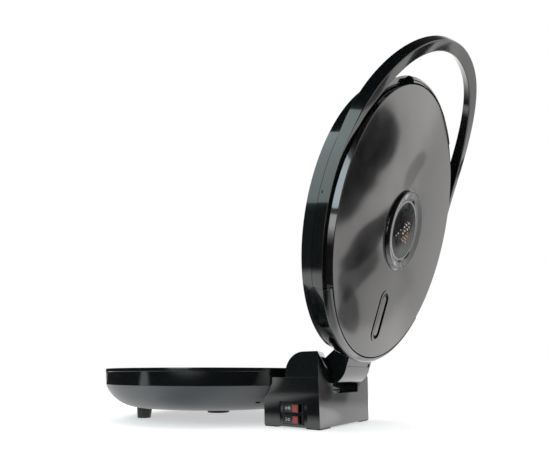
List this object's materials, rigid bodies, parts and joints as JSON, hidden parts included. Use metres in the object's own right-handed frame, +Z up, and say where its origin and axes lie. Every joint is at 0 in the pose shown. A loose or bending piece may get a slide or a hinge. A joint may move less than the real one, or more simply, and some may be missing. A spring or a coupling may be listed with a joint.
{
  "type": "electric pizza maker",
  "caption": "Countertop electric pizza maker with a shallow round base pan, a domed lid on a rear hinge housing, a wide loop handle and rocker switches on the housing's side.",
  "frame": {"origin": "on the table, under the middle of the bounding box of the open cooker", "axes": "+Z up, +X towards the user's right, -Y towards the front of the pan, +Y towards the hinge and the opened lid"},
  "size_m": [0.3694, 0.6088, 0.4691],
  "materials": {
    "shell_black": "glossy",
    "rim_black": "glossy",
    "dome_black": "glossy",
    "handle_black": "glossy",
    "trim_black": "glossy",
    "plate_coating": "satin non-stick coating",
    "heater_steel": "dull",
    "reflector_sheet": "rolled sheet",
    "thermostat_can": "satin",
    "foot_black": "matte",
    "pad_rubber": "matte",
    "screw_steel": "zinc plated",
    "pin_steel": "bright drawn",
    "bush_plastic": "natural",
    "switch_black": "semi-gloss",
    "rocker_black": "semi-gloss",
    "rocker_red": "translucent",
    "terminal_brass": "tinned",
    "block_plastic": "moulded",
    "gland_black": "moulded",
    "trim_ring": "polished",
    "panel_glass": "dark tinted",
    "board_green": "solder resist",
    "lamp_plastic": "translucent"
  },
  "bodies": {
    "base": {"base_shell": "shell_black", "base_rim_ring": "rim_black", "lower_plate": "plate_coating", "lower_element": "heater_steel", "lower_element_clamps": "heater_steel", "lower_reflector": "reflector_sheet", "lower_thermostat": "thermostat_can", "lower_thermal_fuse": "thermostat_can", "lower_plate_screws": "screw_steel", "front_foot_right": "foot_black", "front_foot_left": "foot_black", "foot_screws": "screw_steel", "centre_cap": "foot_black", "centre_cap_screw": "screw_steel", "housing_shell": "shell_black", "housing_bottom": "foot_black", "housing_pads": "pad_rubber", "housing_screws": "screw_steel", "shell_screws": "screw_steel", "hinge_pins": "pin_steel", "lower_switch_body": "switch_black", "upper_switch_body": "switch_black", "switch_terminals": "terminal_brass", "terminal_block": "block_plastic", "cord_gland": "gland_black", "gland_nut": "gland_black"},
    "lid": {"lid_ring": "shell_black", "lid_dome": "dome_black", "dome_screws": "screw_steel", "handle_loop": "handle_black", "handle_screws": "screw_steel", "upper_plate": "plate_coating", "upper_rim_screws": "screw_steel", "upper_element": "heater_steel", "upper_element_clamps": "heater_steel", "upper_reflector": "reflector_sheet", "upper_thermostat": "thermostat_can", "upper_thermal_fuse": "thermostat_can", "upper_plate_screws": "screw_steel", "hinge_neck": "shell_black", "neck_screws": "screw_steel", "hinge_bushes": "bush_plastic", "panel_bezel": "trim_black", "panel_trim": "trim_ring", "panel_lens": "panel_glass", "panel_board": "board_green", "panel_lamps": "lamp_plastic", "panel_screws": "screw_steel", "panel_lock_ring": "gland_black", "rear_slot_tray": "trim_black"},
    "lower_rocker_body": {"lower_rocker": "rocker_black", "lower_rocker_lamp": "rocker_red"},
    "upper_rocker_body": {"upper_rocker": "rocker_black", "upper_rocker_lamp": "rocker_red"}
  },
  "joints": [
    {"name": "lid_hinge", "type": "hinge", "parent": "base", "child": "lid", "pos_m": [0, 0.09012, 0.0678], "axis": [1, 0, 0], "range_deg": [0, 108.5]},
    {"name": "lower_rocker_tip", "type": "hinge", "parent": "base", "child": "lower_rocker_body", "pos_m": [0.0715, 0.07292, 0.0109], "axis": [0, 0, 1], "range_deg": [0, 14]},
    {"name": "upper_rocker_tip", "type": "hinge", "parent": "base", "child": "upper_rocker_body", "pos_m": [0.0715, 0.07292, 0.0249], "axis": [0, 0, 1], "range_deg": [0, 14]}
  ]
}
